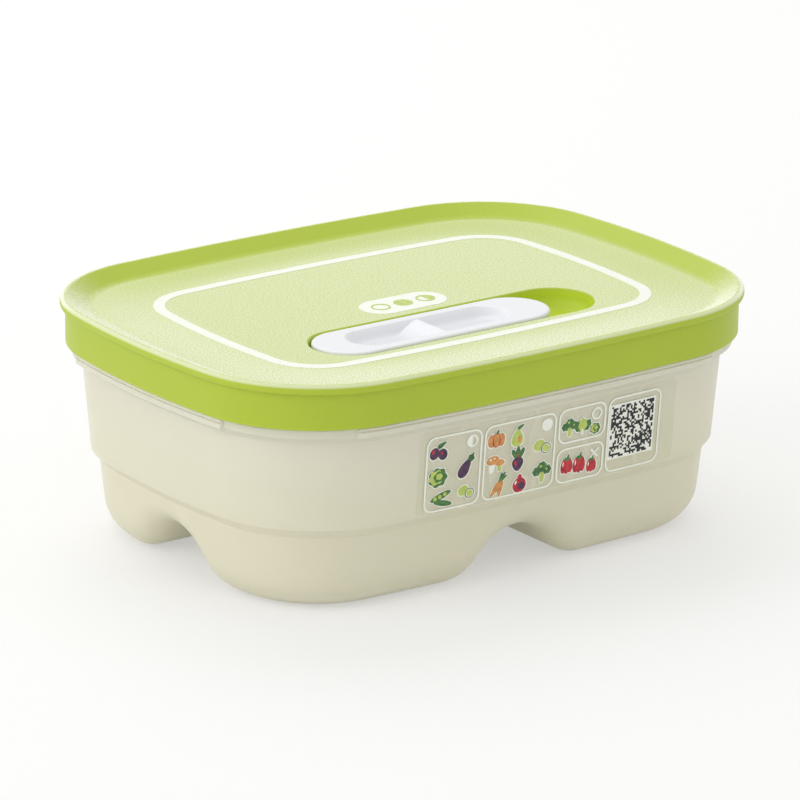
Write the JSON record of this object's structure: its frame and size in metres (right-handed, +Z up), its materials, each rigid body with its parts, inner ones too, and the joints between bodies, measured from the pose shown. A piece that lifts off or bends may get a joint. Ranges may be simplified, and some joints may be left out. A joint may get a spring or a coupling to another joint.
{
  "type": "vented produce keeper",
  "caption": "Low translucent food box on rounded feet, under a lift-off soft green lid with a recessed sliding vent and a printed front label.",
  "frame": {"origin": "centre of the footprint, on the surface that the four feet stand on", "axes": "+X along the long side, towards the end that the vent slider opens to; -Y towards the labelled front; +Z up"},
  "size_m": [0.1982, 0.1496, 0.075],
  "materials": {
    "translucent_box": "milky translucent, fine satin",
    "green_lid": "soft satin",
    "white_slider": "smooth, semi-gloss",
    "soft_seal": "soft matt elastomer",
    "clear_film": "clear gloss film",
    "white_ink": "satin print",
    "pale_green_ink": "satin print",
    "leaf_green_ink": "satin print",
    "red_ink": "satin print",
    "purple_ink": "satin print",
    "tan_ink": "satin print",
    "black_ink": "satin print"
  },
  "bodies": {
    "keeper": {"container": "translucent_box", "label_film": "clear_film", "label_panel_1": "white_ink", "label_panel_2": "white_ink", "label_panel_3": "white_ink", "label_panel_4": "white_ink", "label_panel_5": "white_ink", "produce_green": "leaf_green_ink", "produce_red": "red_ink", "produce_purple": "purple_ink", "produce_tan": "tan_ink", "tile_white": "white_ink", "tile_black": "black_ink"},
    "cover": {"lid": "green_lid", "lid_border_print": "white_ink", "position_pill_print": "white_ink", "position_mark_ring": "pale_green_ink", "position_mark_dotted": "pale_green_ink", "position_mark_half": "pale_green_ink"},
    "vent": {"vent_slider": "white_slider", "vent_seal": "soft_seal"}
  },
  "joints": [
    {"name": "lid_lift", "type": "slide", "parent": "keeper", "child": "cover", "axis": [0, 0, 1], "range_m": [0, 0.06]},
    {"name": "vent_slide", "type": "slide", "parent": "cover", "child": "vent", "axis": [1, 0, 0], "range_m": [0, 0.0159]}
  ]
}
